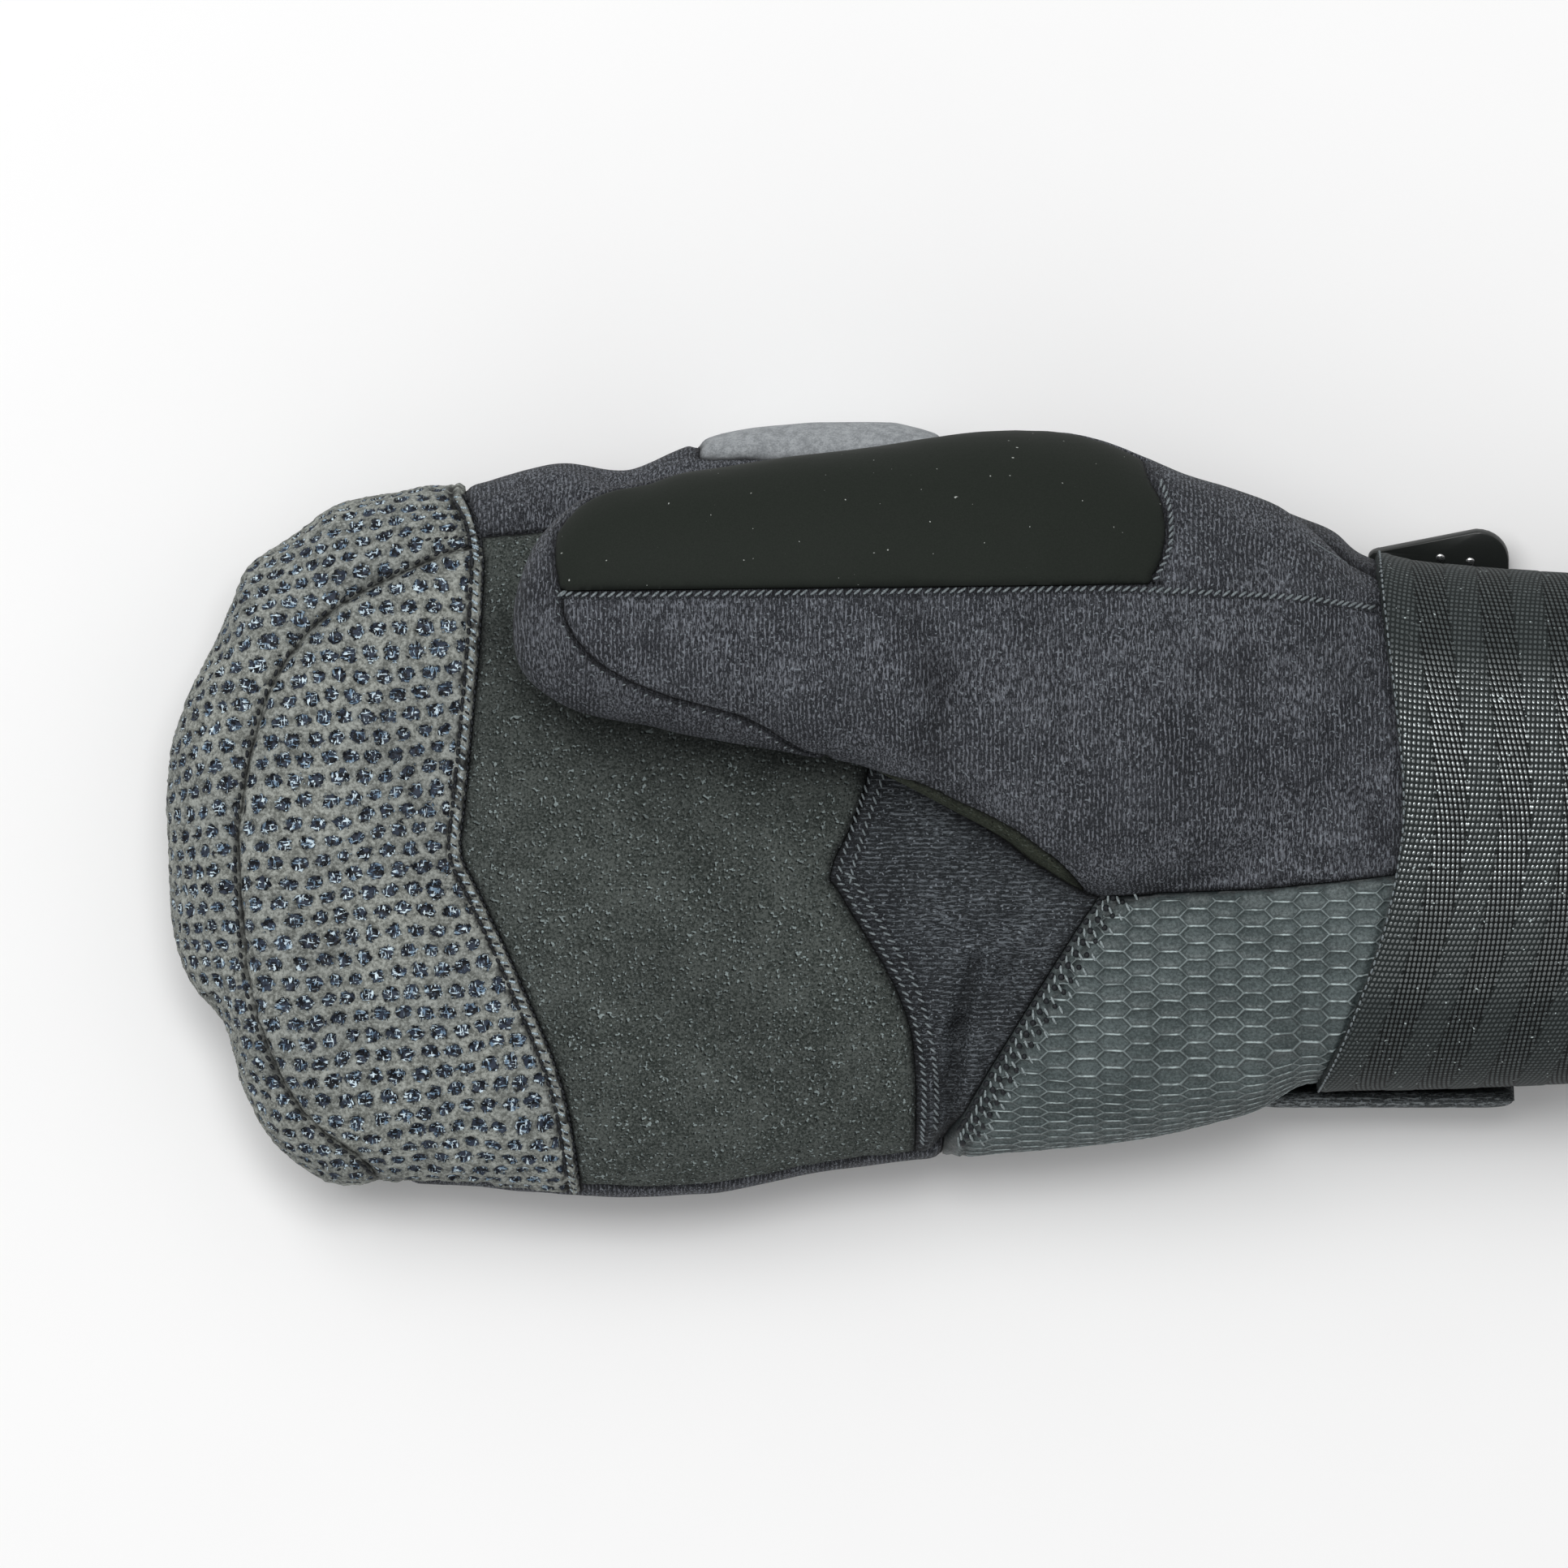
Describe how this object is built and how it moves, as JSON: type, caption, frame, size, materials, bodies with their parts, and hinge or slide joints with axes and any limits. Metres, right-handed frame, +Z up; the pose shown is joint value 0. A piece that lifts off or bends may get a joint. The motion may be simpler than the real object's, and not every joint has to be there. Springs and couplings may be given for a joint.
{
  "type": "snowboard mitten",
  "caption": "Padded right-hand snowboard mitten with a gripping fingertip, suede palm, separate thumb, webbing wrist strap and open cuff.",
  "frame": {"origin": "middle of the mitten's footprint, on the surface that it lies on with its palm up", "axes": "+X from the fingertips to the cuff, +Y to the thumb side, +Z up out of the palm"},
  "size_m": [0.284, 0.1316, 0.08],
  "materials": {
    "softshell": "matt charcoal stretch softshell with a fine rib",
    "grip_fabric": "matt grey green fabric with staggered oval holes",
    "palm_suede": "dark olive grey suede",
    "heel_leather": "teal grey, embossed with flat hexagons",
    "wipe_suede": "smooth very dark microsuede",
    "knuckle_fabric": "light grey fine matt fabric",
    "webbing": "patterned webbing with a silky sheen",
    "moulded_plastic": "satin black moulding",
    "rivet_metal": "bright"
  },
  "bodies": {
    "root": {"fingertip_grip": "grip_fabric", "fingertip_rim": "grip_fabric", "palm_panel": "palm_suede", "palm_gusset": "softshell", "heel_patch": "heel_leather", "thumb_shell": "softshell", "thumb_wrap": "softshell", "thumb_gusset": "palm_suede", "nose_wipe": "wipe_suede", "knuckle_panel": "knuckle_fabric", "back_shell": "softshell", "cuff": "softshell", "wrist_strap": "webbing", "strap_end": "softshell", "pull_tab": "moulded_plastic", "tab_rivet_1": "rivet_metal", "tab_rivet_2": "rivet_metal"}
  },
  "joints": []
}
